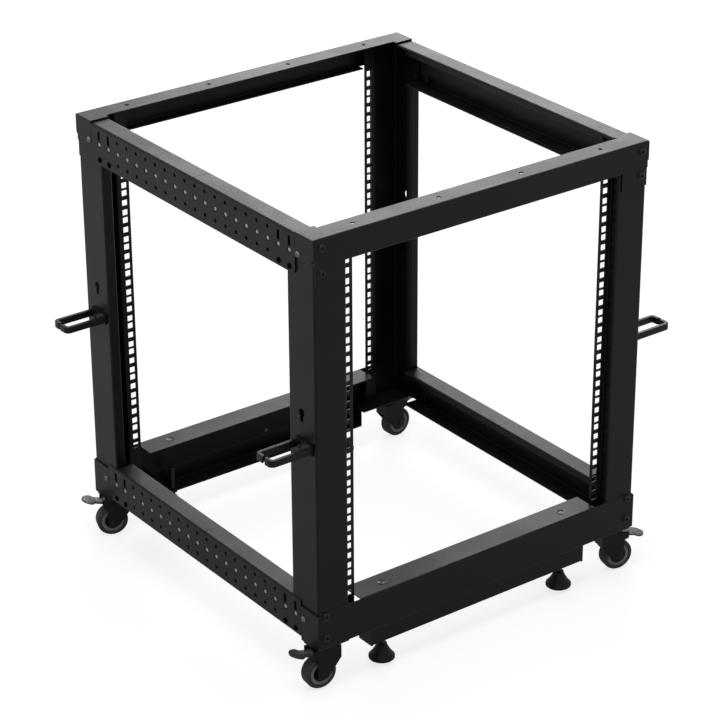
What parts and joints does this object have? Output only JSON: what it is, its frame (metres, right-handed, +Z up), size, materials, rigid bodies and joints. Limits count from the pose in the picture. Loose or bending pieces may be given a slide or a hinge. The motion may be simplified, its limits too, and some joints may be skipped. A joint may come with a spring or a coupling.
{
  "type": "four post open frame rack",
  "caption": "Open frame equipment rack of folded steel posts, beams and hole-patterned side rails, with cable rings, levelling feet and braked swivel casters.",
  "frame": {"origin": "middle of the footprint at floor level", "axes": "+Z up, front towards -Y, +X to the right seen from the front"},
  "size_m": [0.738, 0.6146, 0.713],
  "materials": {
    "powder_coat": "matt black powder coat",
    "ring_plastic": "satin",
    "caster_steel": "black",
    "tyre_rubber": "matt",
    "hub_plastic": "satin",
    "pedal_plastic": "satin",
    "foot_plastic": "matt"
  },
  "bodies": {
    "frame": {"front_left_post": "powder_coat", "front_right_post": "powder_coat", "rear_left_post": "powder_coat", "rear_right_post": "powder_coat", "front_top_beam": "powder_coat", "front_bottom_beam": "powder_coat", "rear_top_beam": "powder_coat", "rear_bottom_beam": "powder_coat", "left_top_rail_front": "powder_coat", "left_top_rail_rear": "powder_coat", "left_bottom_rail_front": "powder_coat", "left_bottom_rail_rear": "powder_coat", "right_top_rail_front": "powder_coat", "right_top_rail_rear": "powder_coat", "right_bottom_rail_front": "powder_coat", "right_bottom_rail_rear": "powder_coat", "front_left_cable_ring": "ring_plastic", "front_right_cable_ring": "ring_plastic", "rear_left_cable_ring": "ring_plastic", "rear_right_cable_ring": "ring_plastic", "front_left_caster_plate": "caster_steel", "front_right_caster_plate": "caster_steel", "rear_left_caster_plate": "caster_steel", "rear_right_caster_plate": "caster_steel"},
    "front_left_swivel": {"front_left_caster_fork": "caster_steel"},
    "front_left_wheel": {"front_left_caster_tyre": "tyre_rubber", "front_left_caster_hub": "hub_plastic"},
    "front_left_brake": {"front_left_caster_pedal": "pedal_plastic"},
    "front_left_leveller": {"front_left_foot": "foot_plastic"},
    "front_right_swivel": {"front_right_caster_fork": "caster_steel"},
    "front_right_wheel": {"front_right_caster_tyre": "tyre_rubber", "front_right_caster_hub": "hub_plastic"},
    "front_right_brake": {"front_right_caster_pedal": "pedal_plastic"},
    "front_right_leveller": {"front_right_foot": "foot_plastic"},
    "rear_left_swivel": {"rear_left_caster_fork": "caster_steel"},
    "rear_left_wheel": {"rear_left_caster_tyre": "tyre_rubber", "rear_left_caster_hub": "hub_plastic"},
    "rear_left_brake": {"rear_left_caster_pedal": "pedal_plastic"},
    "rear_left_leveller": {"rear_left_foot": "foot_plastic"},
    "rear_right_swivel": {"rear_right_caster_fork": "caster_steel"},
    "rear_right_wheel": {"rear_right_caster_tyre": "tyre_rubber", "rear_right_caster_hub": "hub_plastic"},
    "rear_right_brake": {"rear_right_caster_pedal": "pedal_plastic"},
    "rear_right_leveller": {"rear_right_foot": "foot_plastic"}
  },
  "joints": [
    {"name": "front_left_swivel_turn", "type": "hinge", "parent": "frame", "child": "front_left_swivel", "pos_m": [-0.27, -0.2795, 0.066], "axis": [0, 0, 1], "continuous": true},
    {"name": "front_left_wheel_roll", "type": "hinge", "parent": "front_left_swivel", "child": "front_left_wheel", "pos_m": [-0.28392, -0.27804, 0.025], "axis": [0.1045, 0.9945, 0], "continuous": true},
    {"name": "front_left_brake_press", "type": "hinge", "parent": "front_left_swivel", "child": "front_left_brake", "pos_m": [-0.29486, -0.27689, 0.058], "axis": [-0.1045, -0.9945, 0], "range_deg": [0, 25]},
    {"name": "front_left_foot_screw", "type": "slide", "parent": "frame", "child": "front_left_leveller", "axis": [0, 0, 1], "range_m": [-0.03, 0]},
    {"name": "front_right_swivel_turn", "type": "hinge", "parent": "frame", "child": "front_right_swivel", "pos_m": [0.27, -0.2795, 0.066], "axis": [0, 0, 1], "continuous": true},
    {"name": "front_right_wheel_roll", "type": "hinge", "parent": "front_right_swivel", "child": "front_right_wheel", "pos_m": [0.28369, -0.28241, 0.025], "axis": [0.2079, 0.9781, 0], "continuous": true},
    {"name": "front_right_brake_press", "type": "hinge", "parent": "front_right_swivel", "child": "front_right_brake", "pos_m": [0.29445, -0.2847, 0.058], "axis": [0.2079, 0.9781, 0], "range_deg": [-25, 0]},
    {"name": "front_right_foot_screw", "type": "slide", "parent": "frame", "child": "front_right_leveller", "axis": [0, 0, 1], "range_m": [-0.03, 0]},
    {"name": "rear_left_swivel_turn", "type": "hinge", "parent": "frame", "child": "rear_left_swivel", "pos_m": [-0.27, 0.2795, 0.066], "axis": [0, 0, 1], "continuous": true},
    {"name": "rear_left_wheel_roll", "type": "hinge", "parent": "rear_left_swivel", "child": "rear_left_wheel", "pos_m": [-0.28316, 0.28429, 0.025], "axis": [0.342, 0.9397, 0], "continuous": true},
    {"name": "rear_left_brake_press", "type": "hinge", "parent": "rear_left_swivel", "child": "rear_left_brake", "pos_m": [-0.29349, 0.28805, 0.058], "axis": [-0.342, -0.9397, 0], "range_deg": [0, 25]},
    {"name": "rear_left_foot_screw", "type": "slide", "parent": "frame", "child": "rear_left_leveller", "axis": [0, 0, 1], "range_m": [-0.03, 0]},
    {"name": "rear_right_swivel_turn", "type": "hinge", "parent": "frame", "child": "rear_right_swivel", "pos_m": [0.27, 0.2795, 0.066], "axis": [0, 0, 1], "continuous": true},
    {"name": "rear_right_wheel_roll", "type": "hinge", "parent": "rear_right_swivel", "child": "rear_right_wheel", "pos_m": [0.28397, 0.28048, 0.025], "axis": [-0.0698, 0.9976, 0], "continuous": true},
    {"name": "rear_right_brake_press", "type": "hinge", "parent": "rear_right_swivel", "child": "rear_right_brake", "pos_m": [0.29494, 0.28124, 0.058], "axis": [-0.0698, 0.9976, 0], "range_deg": [0, 25]},
    {"name": "rear_right_foot_screw", "type": "slide", "parent": "frame", "child": "rear_right_leveller", "axis": [0, 0, 1], "range_m": [-0.03, 0]}
  ]
}
